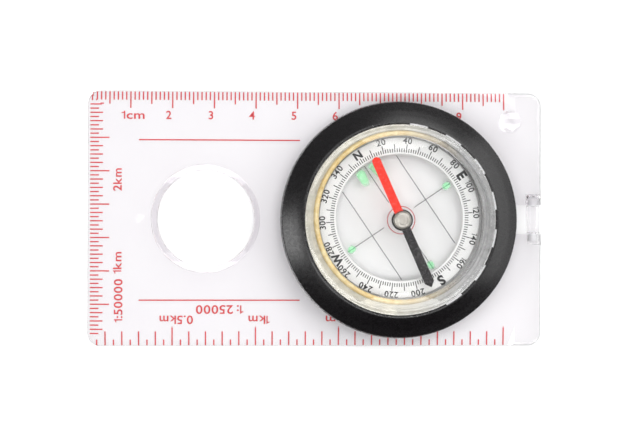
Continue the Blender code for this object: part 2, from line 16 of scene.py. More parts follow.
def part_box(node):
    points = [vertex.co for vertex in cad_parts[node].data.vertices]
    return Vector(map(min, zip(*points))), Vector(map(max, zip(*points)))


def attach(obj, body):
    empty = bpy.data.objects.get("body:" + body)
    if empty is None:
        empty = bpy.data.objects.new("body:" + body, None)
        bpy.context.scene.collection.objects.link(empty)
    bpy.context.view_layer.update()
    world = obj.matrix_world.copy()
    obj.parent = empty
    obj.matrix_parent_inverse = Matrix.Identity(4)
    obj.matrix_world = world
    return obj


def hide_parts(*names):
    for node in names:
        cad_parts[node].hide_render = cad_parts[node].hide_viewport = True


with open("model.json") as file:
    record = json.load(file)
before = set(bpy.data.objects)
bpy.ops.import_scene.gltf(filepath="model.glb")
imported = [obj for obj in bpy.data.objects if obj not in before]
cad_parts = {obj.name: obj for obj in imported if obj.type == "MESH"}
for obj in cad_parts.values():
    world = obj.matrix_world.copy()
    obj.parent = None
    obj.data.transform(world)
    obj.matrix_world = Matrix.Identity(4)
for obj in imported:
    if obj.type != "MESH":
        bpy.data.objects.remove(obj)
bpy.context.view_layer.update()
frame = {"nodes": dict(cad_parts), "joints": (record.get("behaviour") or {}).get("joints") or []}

MM = 0.001


def box_middle(node):
    low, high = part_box(node)
    return (low + high) / 2


def joint_place(name):
    place = Vector(next(joint["pos_m"] for joint in frame["joints"] if joint["name"] == name))
    place.z = 0.0
    return place


def turned_to(axis, north):
    """The frame that stands on an axis, with its +Y towards north."""
    return Matrix.Translation(axis) @ Matrix.Rotation(math.atan2(-north.x, north.y), 4, "Z")


def farthest_from(node, axis):
    return max((v.co for v in frame["nodes"][node].data.vertices), key=lambda p: (p - axis).xy.length)


AXIS = joint_place("bezel_turn")
PIVOT = joint_place("needle_swing")
NORTH = box_middle("dial_ring") - box_middle("lume_south")
HOUSING = turned_to(AXIS, NORTH)
DIAL = turned_to(Vector((*box_middle("dial_ring").xy, 0.0)), NORTH)
BOSS = turned_to(PIVOT, NORTH)
NEEDLE = turned_to(PIVOT, PIVOT - farthest_from("needle_blade", PIVOT))

# Plate
PLATE_LOW, PLATE_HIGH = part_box("baseplate")
PLATE_THICKNESS = 3.0 * MM
CORNER_RADIUS = 3.2 * MM
TOP_ROUND = 0.85 * MM
FOOT_ROUND = 0.12 * MM
RULER_BEVEL_WIDTH = 4.6 * MM
RULER_BEVEL_DROP = 1.0 * MM
RULER_BEVEL_END_X = 46.2 * MM
RUN_OUT_SLOPE = 1.6
PIP_X = -41.9 * MM
PIP_RADIUS = 1.1 * MM
PIP_HEIGHT = 0.5 * MM
LENS = box_middle("magnifier_lens")
LENS_SEAT_RADIUS = 13.0 * MM
LENS_LEDGE_RADIUS = 11.65 * MM
LENS_LEDGE_HEIGHT = 0.8 * MM
LENS_CLEAR_RADIUS = 11.35 * MM
LENS_DOME_HEIGHT = 1.6 * MM
NOTCH_START_X = 46.9 * MM
NOTCH_HALF_WIDTH = 3.5 * MM
BAR = box_middle("lanyard_bar")
BAR_WIDTH = 3.0 * MM
BAR_THICKNESS = 2.4 * MM
BAR_PEG_RADIUS = 0.8 * MM
BAR_PEG_LENGTH = 1.4 * MM
LUG_RADIUS = 1.5 * MM
LUG_OUTER_Y = 5.6 * MM
LUG_LOW_Z = 0.1 * MM
STUD = box_middle("bumper_stud")
STUD_FOOT_RADIUS = 2.75 * MM
STUD_TOP_RADIUS = 2.15 * MM
STUD_HEIGHT = 2.1 * MM

# Housing
GAP = 0.3 * MM
SEAM = 0.05 * MM
BEZEL_RADIUS = 28.4 * MM
BEZEL_WALL_DRAFT = 0.35 * MM
BEZEL_CREASE_RADIUS = 24.4 * MM
BEZEL_BORE_RADIUS = 22.6 * MM
BEZEL_NOTCH_RADIUS = 22.98 * MM
BEZEL_LOW_Z = PLATE_THICKNESS + GAP
BEZEL_SHOULDER_Z = 6.0 * MM
BEZEL_CREASE_Z = 7.8 * MM
BEZEL_TOP_Z = 8.3 * MM
SLEEVE_RADIUS = 24.1 * MM
SLEEVE_LOW_Z = 1.5 * MM
PLATE_BORE_RADIUS = SLEEVE_RADIUS + GAP
COUNTERBORE_RADIUS = 26.0 * MM
NOTCH_COUNT = 16
NOTCH_DEGREES = 11.25
NOTCH_FLOOR_Z = 6.9 * MM
FRICTION_INNER_RADIUS = 24.8 * MM
FRICTION_OUTER_RADIUS = 25.5 * MM
FRICTION_HEIGHT = 0.5 * MM

# Capsule
CAPSULE_RADIUS = BEZEL_BORE_RADIUS - SEAM
CAPSULE_LOW_Z = 0.4 * MM
CAPSULE_FLOOR_Z = 1.8 * MM
CAPSULE_RIM_Z = NOTCH_FLOOR_Z
CAVITY_RADIUS = 20.0 * MM
SEAL_INNER_RADIUS = 19.4 * MM
SEAL_OUTER_RADIUS = 20.65 * MM
SEAL_SEAT_RADIUS = 21.25 * MM
SEAL_SEAT_Z = 6.1 * MM
PIVOT_BOSS_RADIUS = 3.45 * MM
PIVOT_BOSS_Z = 2.6 * MM
PIN_HOLE_RADIUS = 0.75 * MM
PIN_HOLE_LOW_Z = 1.0 * MM
FILL_HOLE = box_middle("fill_plug")
FILL_HOLE_RADIUS = 1.3 * MM
COVER_LOW_Z = CAPSULE_RIM_Z + GAP
COVER_TOP_Z = 9.2 * MM
COVER_EDGE_Z = 8.7 * MM
COVER_SHOULDER_Z = 8.35 * MM
TAB_RADIUS = BEZEL_NOTCH_RADIUS - SEAM
TAB_HIGH_Z = 8.1 * MM
TAB_DEGREES = 10.8
DIAL_INNER_RADIUS = 15.1 * MM
DIAL_OUTER_RADIUS = 19.1 * MM
DIAL_LOW_Z = CAPSULE_FLOOR_Z + GAP
DIAL_TOP_Z = DIAL_LOW_Z + 1.0 * MM
LUME_TOP_Z = DIAL_LOW_Z + 0.2 * MM

# Needle
NEEDLE_Z = 4.9 * MM
NEEDLE_THICKNESS = 0.4 * MM
NEEDLE_NORTH = 16.2 * MM
NEEDLE_SOUTH = 17.4 * MM
NEEDLE_HALF_WIDTH = 1.05 * MM
NEEDLE_TAIL_HALF_WIDTH = 1.18 * MM
NEEDLE_GABLE = 1.3 * MM
NEEDLE_HUB_RADIUS = 2.55 * MM
NEEDLE_EYE_RADIUS = 1.3 * MM
CAP_RADIUS = 2.3 * MM
CAP_LOW_Z = NEEDLE_Z + NEEDLE_THICKNESS + GAP
CAP_TOP_Z = 6.75 * MM
CAP_HOLLOW_RADIUS = 1.3 * MM
CAP_HOLLOW_Z = 6.3 * MM

# Prints
INK_THICKNESS = 0.02 * MM
PLATE_INK_Z = 0.04 * MM
PLATE_LINE_WIDTH = 0.3 * MM
DIAL_LINE_WIDTH = 0.2 * MM
FLOOR_LINE_WIDTH = 0.17 * MM

TURN_STEPS = 256
CORNER_STEPS = 4
SOFT_EDGE = 0.12 * MM
SPILL = 1.0 * MM  # how far a cutter reaches past what it cuts
QUARTER_TURN = 0.5 * math.pi


# ---- Shapes


def turned(profile, steps=TURN_STEPS, closed=True):
    """A solid turned about Z from (radius, height) points. An open profile starts and ends on Z."""
    bm = bmesh.new()
    points = [bm.verts.new((radius, 0.0, height)) for radius, height in profile]
    edges = [bm.edges.new(pair) for pair in zip(points, points[1:])]
    if closed:
        edges.append(bm.edges.new((points[-1], points[0])))
    bmesh.ops.spin(
        bm,
        geom=points + edges,
        axis=(0.0, 0.0, 1.0),
        cent=(0.0, 0.0, 0.0),
        angle=math.tau,
        steps=steps,
        use_merge=True,
    )
    return bm


def extruded(outline, low, high):
    """A prism on a flat outline of (x, y) points, from height low to height high."""
    bm = bmesh.new()
    face = bm.faces.new([bm.verts.new((x, y, low)) for x, y in outline])
    raised = bmesh.ops.extrude_face_region(bm, geom=[face])["geom"]
    top = [part for part in raised if isinstance(part, bmesh.types.BMVert)]
    bmesh.ops.translate(bm, verts=top, vec=(0.0, 0.0, high - low))
    return bm


def arc(centre, radius, start, end, steps):
    """Points on an arc from angle start to angle end, both ends included."""
    angles = [start + (end - start) * i / steps for i in range(steps + 1)]
    return [(centre[0] + radius * math.cos(a), centre[1] + radius * math.sin(a)) for a in angles]


def circle(centre, radius, steps):
    return arc(centre, radius, 0.0, math.tau, steps)[:-1]


def rounded_rectangle(low, high, radius, steps=8):
    left, bottom = low[0] + radius, low[1] + radius
    right, top = high[0] - radius, high[1] - radius
    points = []
    for i, centre in enumerate(((right, top), (left, top), (left, bottom), (right, bottom))):
        points += arc(centre, radius, i * QUARTER_TURN, (i + 1) * QUARTER_TURN, steps)
    return points


def softened(points, radius=SOFT_EDGE, steps=CORNER_STEPS, closed=True):
    """The same outline with each corner rounded, as moulding leaves it."""
    result = []
    for i, point in enumerate(points):
        if not closed and i in (0, len(points) - 1):
            result.append(point)
            continue
        here = Vector(point)
        before = Vector(points[i - 1]) - here
        after = Vector(points[(i + 1) % len(points)]) - here
        reach = min(radius, 0.4 * before.length, 0.4 * after.length)
        start = here + before.normalized() * reach
        end = here + after.normalized() * reach
        for k in range(steps + 1):
            t = k / steps
            result.append(tuple((1 - t) ** 2 * start + 2 * t * (1 - t) * here + t * t * end))
    return result


def along_x(bm):
    """Lays a prism drawn in (y, z) and extruded upwards so that it runs along X."""
    bm.transform(Matrix(((0, 0, 1, 0), (1, 0, 0, 0), (0, 1, 0, 0), (0, 0, 0, 1))))
    return bm


def along_y(bm):
    """Lays a prism drawn in (x, z) and extruded upwards so that it runs along Y."""
    bm.transform(Matrix(((1, 0, 0, 0), (0, 0, 1, 0), (0, 1, 0, 0), (0, 0, 0, 1))))
    return bm


def moved(bm, x=0.0, y=0.0, z=0.0):
    bm.transform(Matrix.Translation(Vector((x, y, z))))
    return bm


def joined(parts):
    combined = bmesh.new()
    for part in parts:
        mesh = bpy.data.meshes.new("part")
        part.to_mesh(mesh)
        part.free()
        combined.from_mesh(mesh)
        bpy.data.meshes.remove(mesh)
    return combined


def ring_of_blocks(inner, outer, low, high, degrees, numbers):
    """Closed ring segments at the numbered places of a ring of notches. Number 0 is at +Y."""
    half = math.radians(degrees) / 2
    blocks = []
    for i in numbers:
        middle = QUARTER_TURN + math.tau * i / NOTCH_COUNT
        outside = arc((0.0, 0.0), outer, middle - half, middle + half, 8)
        inside = arc((0.0, 0.0), inner, middle + half, middle - half, 8)
        blocks.append(extruded(outside + inside, low, high))
    return joined(blocks)


def bar(start, end, width, low):
    """A flat printed line between two (x, y) points."""
    start, end = Vector(start), Vector(end)
    side = (end - start).normalized().orthogonal() * width / 2
    outline = [tuple(start + side), tuple(start - side), tuple(end - side), tuple(end + side)]
    return extruded(outline, low, low + INK_THICKNESS)


# ---- Objects


def added(name, data):
    obj = bpy.data.objects.new(name, data)
    bpy.context.scene.collection.objects.link(obj)
    return obj


def new_object(name, bm, material=None):
    bmesh.ops.remove_doubles(bm, verts=bm.verts, dist=1e-7)
    bmesh.ops.recalc_face_normals(bm, faces=bm.faces)
    mesh = bpy.data.meshes.new(name)
    bm.to_mesh(mesh)
    bm.free()
    if material is not None:
        mesh.materials.append(material)
    return added(name, mesh)


def boolean(obj, cutter, operation="DIFFERENCE"):
    """Cuts or joins at once, and takes the cutter away."""
    modifier = obj.modifiers.new("boolean", "BOOLEAN")
    modifier.operation = operation
    modifier.solver = "EXACT"
    modifier.material_mode = "TRANSFER" if cutter.data.materials else "INDEX"
    modifier.object = cutter
    mesh = evaluated_mesh(obj)
    obj.modifiers.clear()
    obj.data = mesh
    bpy.data.objects.remove(cutter)


def evaluated_mesh(obj):
    """What the object's curve or its modifiers make, as a mesh."""
    bpy.context.view_layer.update()
    return bpy.data.meshes.new_from_object(obj.evaluated_get(bpy.context.evaluated_depsgraph_get()))


def smooth(obj, sharp_degrees=35.0):
    """Round faces smooth, large flat faces truly flat."""
    obj.data.shade_smooth()
    obj.data.set_sharp_from_angle(angle=math.radians(sharp_degrees))
    modifier = obj.modifiers.new("flat_faces", "WEIGHTED_NORMAL")
    modifier.keep_sharp = True
    modifier.weight = 100


def place(obj, body, slot, where=Matrix.Identity(4), stands_for=()):
    """Puts a piece in its frame and on its body, and hides the CAD nodes it stands for."""
    obj.data.transform(where.to_3x3().to_4x4())
    obj.matrix_world = Matrix.Translation(where.translation)
    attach(obj, body)
    if stands_for:
        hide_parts(*stands_for)


# ---- Materials


class Surface:
    """A Principled material with procedural layers in the piece's own coordinates."""

    def __init__(self, name, **sockets):
        self.material = bpy.data.materials.new(name)
        self.material.use_nodes = True
        self.tree = self.material.node_tree
        self.shader = self.tree.nodes["Principled BSDF"]
        self.output = self.tree.nodes["Material Output"]
        self.place = self.node("ShaderNodeTexCoord").outputs["Object"]
        for socket, value in sockets.items():
            self.shader.inputs[socket.replace("_", " ")].default_value = value

    def node(self, kind, **inputs):
        made = self.tree.nodes.new(kind)
        for socket, value in inputs.items():
            made.inputs[socket.replace("_", " ")].default_value = value
        return made

    def link(self, source, target):
        self.tree.links.new(source, target)

    def noise(self, size, detail=3.0, stretch=(1.0, 1.0, 1.0)):
        """Soft grain whose lumps are about size across."""
        mapping = self.node("ShaderNodeMapping", Scale=stretch)
        self.link(self.place, mapping.inputs["Vector"])
        made = self.node("ShaderNodeTexNoise", Scale=1.0 / size, Detail=detail)
        self.link(mapping.outputs["Vector"], made.inputs["Vector"])
        return made.outputs["Fac"]

    def rings(self, width):
        """Turning marks round the piece's own Z axis."""
        made = self.node("ShaderNodeTexWave", Scale=0.314 / width, Distortion=1.5, Detail=2.0)
        made.wave_type = "RINGS"
        made.rings_direction = "Z"
        self.link(self.place, made.inputs["Vector"])
        return made.outputs["Fac"]

    def ranged(self, value, low, high, start=0.3, end=0.7):
        """Runs from low to high, as value runs from start to end."""
        made = self.node("ShaderNodeMapRange", From_Min=start, From_Max=end, To_Min=low, To_Max=high)
        self.link(value, made.inputs["Value"])
        return made.outputs["Result"]

    def blend(self, value, first, second):
        """A colour that drifts between first and second, over the middle of a noise's range."""
        ramp = self.node("ShaderNodeValToRGB")
        for element, position, colour in zip(ramp.color_ramp.elements, (0.3, 0.7), (first, second)):
            element.position = position
            element.color = (*colour, 1.0)
        self.link(value, ramp.inputs["Fac"])
        return ramp.outputs["Color"]

    def coloured(self, value, first, second):
        self.link(self.blend(value, first, second), self.shader.inputs["Base Color"])

    def roughened(self, value, low, high):
        self.link(self.ranged(value, low, high), self.shader.inputs["Roughness"])

    def bumped(self, height, depth, strength=1.0):
        made = self.node("ShaderNodeBump", Strength=strength, Distance=depth)
        self.link(height, made.inputs["Height"])
        self.link(made.outputs["Normal"], self.shader.inputs["Normal"])

    def calculated(self, operation, first, second):
        made = self.node("ShaderNodeMath")
        made.operation = operation
        self.link(first, made.inputs[0])
        self.link(second, made.inputs[1])
        return made.outputs["Value"]

    def mixed(self, share, first, second):
        """Shows two shaders in one: the first where share is 0, the second where it is 1."""
        mix = self.node("ShaderNodeMixShader")
        self.link(share, mix.inputs["Fac"])
        self.link(first.outputs["BSDF"], mix.inputs[1])
        self.link(second.outputs["BSDF"], mix.inputs[2])
        self.link(mix.outputs["Shader"], self.output.inputs["Surface"])

    def thinned(self, cover):
        """Covers what lies below only in part: fully where cover is 1, not at all where it is 0."""
        self.mixed(cover, self.node("ShaderNodeBsdfTransparent"), self.shader)

    def lets_light_through(self, tint):
        """Lights what lies under the clear plastic: it throws only a light, even shadow."""
        path = self.node("ShaderNodeLightPath").outputs
        lighting = self.calculated("MAXIMUM", path["Is Shadow Ray"], path["Is Diffuse Ray"])
        self.mixed(lighting, self.shader, self.node("ShaderNodeBsdfTransparent", Color=(*tint, 1.0)))


def clear_plastic(name, thin, thick, shade, wave=0.0006 * MM):
    """Clear moulded plastic with faint flow marks and fine wear on its faces."""
    surface = Surface(name, Transmission_Weight=1.0, IOR=1.49)
    surface.coloured(surface.noise(9 * MM, 2.0), thin, thick)
    surface.roughened(surface.noise(1.5 * MM, 4.0), 0.0, 0.03)
    surface.bumped(surface.noise(3 * MM, 1.0, (0.35, 1.0, 1.0)), wave, 0.5)
    surface.lets_light_through(shade)
    return surface.material


def frosted_plastic(name, clear_share, first, second, roughness):
    """Clear plastic left rough by the mould: part of it scatters the light."""
    surface = Surface(name, Transmission_Weight=clear_share, IOR=1.49)
    surface.coloured(surface.noise(1.2 * MM, 4.0), first, second)
    surface.roughened(surface.noise(0.5 * MM, 4.0), 0.7 * roughness, 1.2 * roughness)
    surface.bumped(surface.noise(0.5 * MM, 3.0), 0.01 * MM, 0.6)
    surface.lets_light_through((0.8, 0.8, 0.8))
    return surface.material


def black_plastic():
    surface = Surface("black_plastic", IOR=1.5)
    surface.coloured(surface.noise(3 * MM, 4.0), (0.0016, 0.0011, 0.0016), (0.0026, 0.0018, 0.0026))
    surface.roughened(surface.noise(0.8 * MM, 5.0), 0.24, 0.31)
    surface.bumped(surface.noise(0.12 * MM, 3.0), 0.004 * MM, 0.6)
    return surface.material


def grained_plastic(name, first, second, roughness):
    """Opaque moulded plastic: colour that drifts a little, and a fine grain."""
    surface = Surface(name, IOR=1.5)
    surface.coloured(surface.noise(2 * MM, 4.0), first, second)
    surface.roughened(surface.noise(0.7 * MM, 4.0), roughness - 0.05, roughness + 0.05)
    surface.bumped(surface.noise(0.15 * MM, 3.0), 0.003 * MM, 0.6)
    return surface.material


def printed_ink(name, full, thin):
    """Printing ink that lies a little thinner in places."""
    surface = Surface(name, IOR=1.45)
    surface.coloured(surface.noise(0.35 * MM, 5.0), full, thin)
    surface.roughened(surface.noise(0.5 * MM, 3.0), 0.45, 0.6)
    return surface.material


def painted_metal(name, first, second):
    """Enamel on the needle's strip, with a slight orange peel."""
    surface = Surface(name, IOR=1.5)
    surface.coloured(surface.noise(1.4 * MM, 4.0), first, second)
    surface.roughened(surface.noise(0.6 * MM, 3.0), 0.2, 0.3)
    surface.bumped(surface.noise(0.3 * MM, 2.0), 0.004 * MM, 0.6)
    return surface.material


def turned_metal(name, first, second, roughness, width):
    surface = Surface(name, Metallic=1.0)
    surface.coloured(surface.noise(0.9 * MM, 4.0), first, second)
    surface.roughened(surface.noise(0.4 * MM, 3.0), roughness - 0.06, roughness + 0.08)
    surface.bumped(surface.rings(width), 0.003 * MM, 0.5)
    return surface.material


def sealant(name, west, east, west_cover, east_cover):
    """Cured sealant whose colours and cover change from the housing's west side to its east: its own
    colours in the west, grey painted shade in the east.
    """
    surface = Surface(name, IOR=1.45)
    split = surface.node("ShaderNodeSeparateXYZ")
    surface.link(surface.place, split.inputs["Vector"])
    # How far east the point lies: the painted shade grows towards the east.
    side = surface.ranged(split.outputs["X"], 0.0, 1.0, -2.0 * MM, 15.0 * MM)
    mix = surface.node("ShaderNodeMix")
    mix.data_type = "RGBA"
    surface.link(side, mix.inputs["Factor"])
    # West colours are the sealant's own; east colours are painted shade.
    surface.link(surface.blend(surface.noise(1.6 * MM, 3.0), *west), mix.inputs["A"])
    surface.link(surface.blend(surface.noise(1.6 * MM, 3.0), *east), mix.inputs["B"])
    surface.link(mix.outputs["Result"], surface.shader.inputs["Base Color"])
    surface.roughened(surface.noise(0.8 * MM, 3.0), 0.2, 0.4)
    surface.bumped(surface.noise(1.1 * MM, 3.0), 0.03 * MM, 0.5)
    cover = surface.ranged(side, west_cover, east_cover, 0.0, 1.0)
    patches = surface.ranged(surface.noise(2.5 * MM, 3.0), 0.7, 1.0)
    surface.thinned(surface.calculated("MULTIPLY", cover, patches))
    return surface.material


def luminous_paint(node, turn, reach_x, reach_y):
    """Paint that thins away to nothing towards the edge of its dab."""
    surface = Surface(f"paint_{node}", IOR=1.45)
    surface.coloured(surface.noise(0.5 * MM, 5.0), (0.34, 0.86, 0.46), (0.55, 0.95, 0.64))
    surface.roughened(surface.noise(0.3 * MM, 3.0), 0.55, 0.75)
    surface.bumped(surface.noise(0.15 * MM, 4.0), 0.01 * MM, 0.7)
    mapping = surface.node("ShaderNodeMapping", Location=box_middle(node), Rotation=(0.0, 0.0, turn))
    mapping.vector_type = "TEXTURE"
    mapping.inputs["Scale"].default_value = (reach_x, reach_y, 1.0)
    surface.link(surface.place, mapping.inputs["Vector"])
    distance = surface.node("ShaderNodeVectorMath")
    distance.operation = "LENGTH"
    surface.link(mapping.outputs["Vector"], distance.inputs[0])
    surface.thinned(surface.ranged(distance.outputs["Value"], 0.9, 0.0, 0.35, 1.0))
    return surface.material


ACRYLIC = clear_plastic(
    "clear_acrylic", (0.955, 0.943, 0.958), (0.968, 0.96, 0.97), (0.942, 0.935, 0.943)
)
LENS_ACRYLIC = clear_plastic(
    "lens_acrylic", (0.998, 0.998, 1.0), (1.0, 1.0, 1.0), (0.995, 0.995, 0.995)
)
CAPSULE_ACRYLIC = clear_plastic(
    "capsule_acrylic", (0.985, 0.985, 0.985), (0.992, 0.992, 0.992), (0.985, 0.985, 0.985), 0.0002 * MM
)
FROSTED = frosted_plastic("frosted_acrylic", 0.45, (0.78, 0.78, 0.79), (0.90, 0.90, 0.91), 0.5)
# A rough finish for the plate's outer walls; its dark grey colour is painted shade along the edge.
ROUGH_EDGE_PAINTED_SHADE = frosted_plastic("rough_edge_painted_shade", 0.7, (0.46, 0.46, 0.465), (0.56, 0.56, 0.565), 0.35)
BLACK = black_plastic()
NYLON = grained_plastic("white_nylon", (0.74, 0.73, 0.69), (0.82, 0.81, 0.77), 0.5)
DIAL_WHITE = grained_plastic("dial_white", (0.80, 0.80, 0.79), (0.85, 0.85, 0.84), 0.45)
# The amber west colours are the sealant's own; the grey east colours are painted shade.
AMBER = sealant(
    "amber_seal",
    ((0.80, 0.56, 0.21), (0.93, 0.80, 0.46)),
    ((0.34, 0.34, 0.34), (0.46, 0.46, 0.46)),
    0.9,
    0.4,
)
# The pale west colours are the film's own; the grey east colours are painted shade.
SEAL_FILM = sealant(
    "seal_film",
    ((0.66, 0.62, 0.50), (0.80, 0.77, 0.66)),
    ((0.52, 0.52, 0.52), (0.66, 0.66, 0.66)),
    0.8,
    0.55,
)
STEEL = turned_metal("steel", (0.52, 0.52, 0.53), (0.62, 0.62, 0.62), 0.28, 0.08 * MM)
BRASS = turned_metal("brass", (0.72, 0.55, 0.28), (0.82, 0.66, 0.38), 0.3, 0.08 * MM)
SILVER = turned_metal("cap_silver", (0.29, 0.273, 0.247), (0.37, 0.352, 0.322), 0.45, 0.14 * MM)
RED = painted_metal("needle_red", (0.78, 0.016, 0.003), (0.84, 0.028, 0.007))
NEEDLE_BLACK = painted_metal("needle_black", (0.012, 0.0105, 0.012), (0.019, 0.0165, 0.018))
RED_INK = printed_ink("red_ink", (0.58, 0.03, 0.035), (0.68, 0.08, 0.085))
BLACK_INK = printed_ink("black_ink", (0.008, 0.008, 0.009), (0.022, 0.021, 0.023))
GREY_INK = printed_ink("grey_ink", (0.05, 0.05, 0.055), (0.10, 0.10, 0.105))
GREEN_INK = printed_ink("green_ink", (0.04, 0.20, 0.08), (0.07, 0.28, 0.12))
# Grey-pink painted shade for the pivot boss's edge line.
BOSS_EDGE_PAINTED_SHADE = printed_ink("boss_edge_painted_shade", (0.52, 0.10, 0.11), (0.62, 0.20, 0.21))


# ---- Plate


def wedge(edge):
    """The section, across one edge of the plate, of what its ruler bevel takes away."""
    outwards = math.copysign(1.0, edge)
    slope = RULER_BEVEL_DROP / RULER_BEVEL_WIDTH
    inner = edge - outwards * RULER_BEVEL_WIDTH
    outer = edge + outwards * SPILL
    deepest = PLATE_THICKNESS - slope * (RULER_BEVEL_WIDTH + SPILL)
    top = PLATE_THICKNESS + SPILL
    return [(inner, PLATE_THICKNESS), (outer, deepest), (outer, top), (inner, top)]


def ruler_bevel(edge):
    """Thins one long edge of the plate, and runs out in a ramp at its +X end."""
    section = wedge(edge)
    deepest = section[1][1]
    bm = along_x(extruded(section, PLATE_LOW.x - SPILL, RULER_BEVEL_END_X))
    for vertex in bm.verts:
        if vertex.co.x > PLATE_LOW.x:
            vertex.co.x += RUN_OUT_SLOPE * (vertex.co.z - deepest)
    return new_object("ruler_bevel", bm)


def end_bevel():
    """Thins the short -X edge."""
    reach = PLATE_HIGH.y + SPILL
    return new_object("end_bevel", along_y(extruded(wedge(PLATE_LOW.x), -reach, reach)))


def plate_blank():
    half_x = (PLATE_HIGH.x - PLATE_LOW.x) / 2
    half_y = PLATE_HIGH.y
    outline = rounded_rectangle((-half_x, -half_y), (half_x, half_y), CORNER_RADIUS, steps=15)
    bm = moved(extruded(outline, 0.0, PLATE_THICKNESS), x=PLATE_LOW.x + half_x)
    for height, radius, steps in ((PLATE_THICKNESS, TOP_ROUND, 6), (0.0, FOOT_ROUND, 3)):
        rim = [e for e in bm.edges if all(abs(v.co.z - height) < 1e-9 for v in e.verts)]
        bmesh.ops.bevel(bm, geom=rim, offset=radius, segments=steps, profile=0.5, affect="EDGES")
    return bm


def stepped_hole(middle, low_radius, step_z, high_radius):
    profile = [
        (0.0, PLATE_THICKNESS + SPILL),
        (high_radius, PLATE_THICKNESS + SPILL),
        (high_radius, step_z),
        (low_radius, step_z),
        (low_radius, -SPILL),
        (0.0, -SPILL),
    ]
    return new_object("stepped_hole", moved(turned(profile, closed=False), middle.x, middle.y))


def lug(side):
    """A rounded boss beside the notch, which holds one end of the lanyard bar."""
    reach = LUG_RADIUS + 0.3 * MM
    top = LUG_LOW_Z + 2 * LUG_RADIUS + 0.4 * MM
    outline = rounded_rectangle((BAR.x - reach, LUG_LOW_Z), (BAR.x + reach, top), LUG_RADIUS, steps=10)
    overlap = 0.5 * MM
    near, far = sorted((side * (NOTCH_HALF_WIDTH - overlap), side * LUG_OUTER_Y))
    bm = along_y(extruded(outline, near, far))
    outer_y = side * LUG_OUTER_Y
    rims = [edge for edge in bm.edges if all(abs(v.co.y - outer_y) < 1e-9 for v in edge.verts)]
    bmesh.ops.bevel(bm, geom=rims, offset=0.5 * MM, segments=4, profile=0.5, affect="EDGES")
    return new_object("lug", bm)


def divided(obj, planes):
    """Splits the faces that each plane crosses, so that the two sides are shaded apart."""
    bm = bmesh.new()
    bm.from_mesh(obj.data)
    for point, normal in planes:
        geometry = bm.verts[:] + bm.edges[:] + bm.faces[:]
        bmesh.ops.bisect_plane(bm, geom=geometry, plane_co=point, plane_no=normal)
    bm.to_mesh(obj.data)
    bm.free()


def mark_flat_creases(obj, smallest=2.0e-6, least_degrees=4.0):
    """Keeps a crisp line where two large flat faces meet, however flat the angle."""
    bm = bmesh.new()
    bm.from_mesh(obj.data)
    for edge in bm.edges:
        faces = edge.link_faces
        large = len(faces) == 2 and min(face.calc_area() for face in faces) > smallest
        if large and edge.calc_face_angle(0.0) > math.radians(least_degrees):
            edge.smooth = False
    bm.to_mesh(obj.data)
    bm.free()


def finish_outer_walls(plate):
    """Gives the plate's outer walls and round a rough finish whose dark grey colour is painted shade
    along the plate's edge. The walls of its holes stay clear.
    """
    plate.data.materials.append(ROUGH_EDGE_PAINTED_SHADE)
    shaded_slot = len(plate.data.materials) - 1
    for face in plate.data.polygons:
        beyond = face.center + 2 * MM * face.normal
        outside = not PLATE_LOW.x < beyond.x < PLATE_HIGH.x or abs(beyond.y) > PLATE_HIGH.y
        if outside and abs(face.normal.z) < 0.8:
            face.material_index = shaded_slot


def make_baseplate():
    plate = new_object("plate_moulding", plate_blank(), ACRYLIC)
    boolean(plate, ruler_bevel(PLATE_HIGH.y))
    boolean(plate, ruler_bevel(PLATE_LOW.y))
    boolean(plate, end_bevel())
    boolean(plate, stepped_hole(LENS, LENS_LEDGE_RADIUS, LENS_LEDGE_HEIGHT, LENS_SEAT_RADIUS))
    boolean(plate, stepped_hole(AXIS, COUNTERBORE_RADIUS, SLEEVE_LOW_Z, PLATE_BORE_RADIUS))
    boolean(plate, lug(1), "UNION")
    boolean(plate, lug(-1), "UNION")
    beyond = PLATE_HIGH.x + SPILL
    notch = [
        (NOTCH_START_X, -NOTCH_HALF_WIDTH),
        (beyond, -NOTCH_HALF_WIDTH),
        (beyond, NOTCH_HALF_WIDTH),
        (NOTCH_START_X, NOTCH_HALF_WIDTH),
    ]
    boolean(plate, new_object("notch", extruded(notch, -SPILL, PLATE_THICKNESS + SPILL)))
    peg_reach = NOTCH_HALF_WIDTH + BAR_PEG_LENGTH + GAP
    hole = circle((BAR.x, BAR.z), BAR_PEG_RADIUS + GAP, 32)
    holes = new_object("peg_holes", along_y(extruded(hole, -peg_reach, peg_reach)), FROSTED)
    boolean(plate, holes)
    pip = [
        (PIP_RADIUS * math.sin(a), PLATE_THICKNESS + PIP_HEIGHT * math.cos(a))
        for a in (math.radians(degrees) for degrees in range(0, 91, 15))
    ]
    pip += [(PIP_RADIUS, 0.5 * PLATE_THICKNESS), (0.0, 0.5 * PLATE_THICKNESS)]
    boolean(plate, new_object("pip", moved(turned(pip, 48, closed=False), x=PIP_X)), "UNION")
    beside_lug = LUG_OUTER_Y + 0.3 * MM
    before_lug = BAR.x - LUG_RADIUS - 0.6 * MM
    planes = [((before_lug, 0.0, 0.0), (1.0, 0.0, 0.0))]
    planes += [((0.0, side * beside_lug, 0.0), (0.0, 1.0, 0.0)) for side in (-1, 1)]
    divided(plate, planes)
    # The outer walls' dark colour is painted shade along the plate's edge.
    finish_outer_walls(plate)
    smooth(plate)
    mark_flat_creases(plate)
    place(plate, "base", "clear_acrylic", stands_for=["baseplate"])


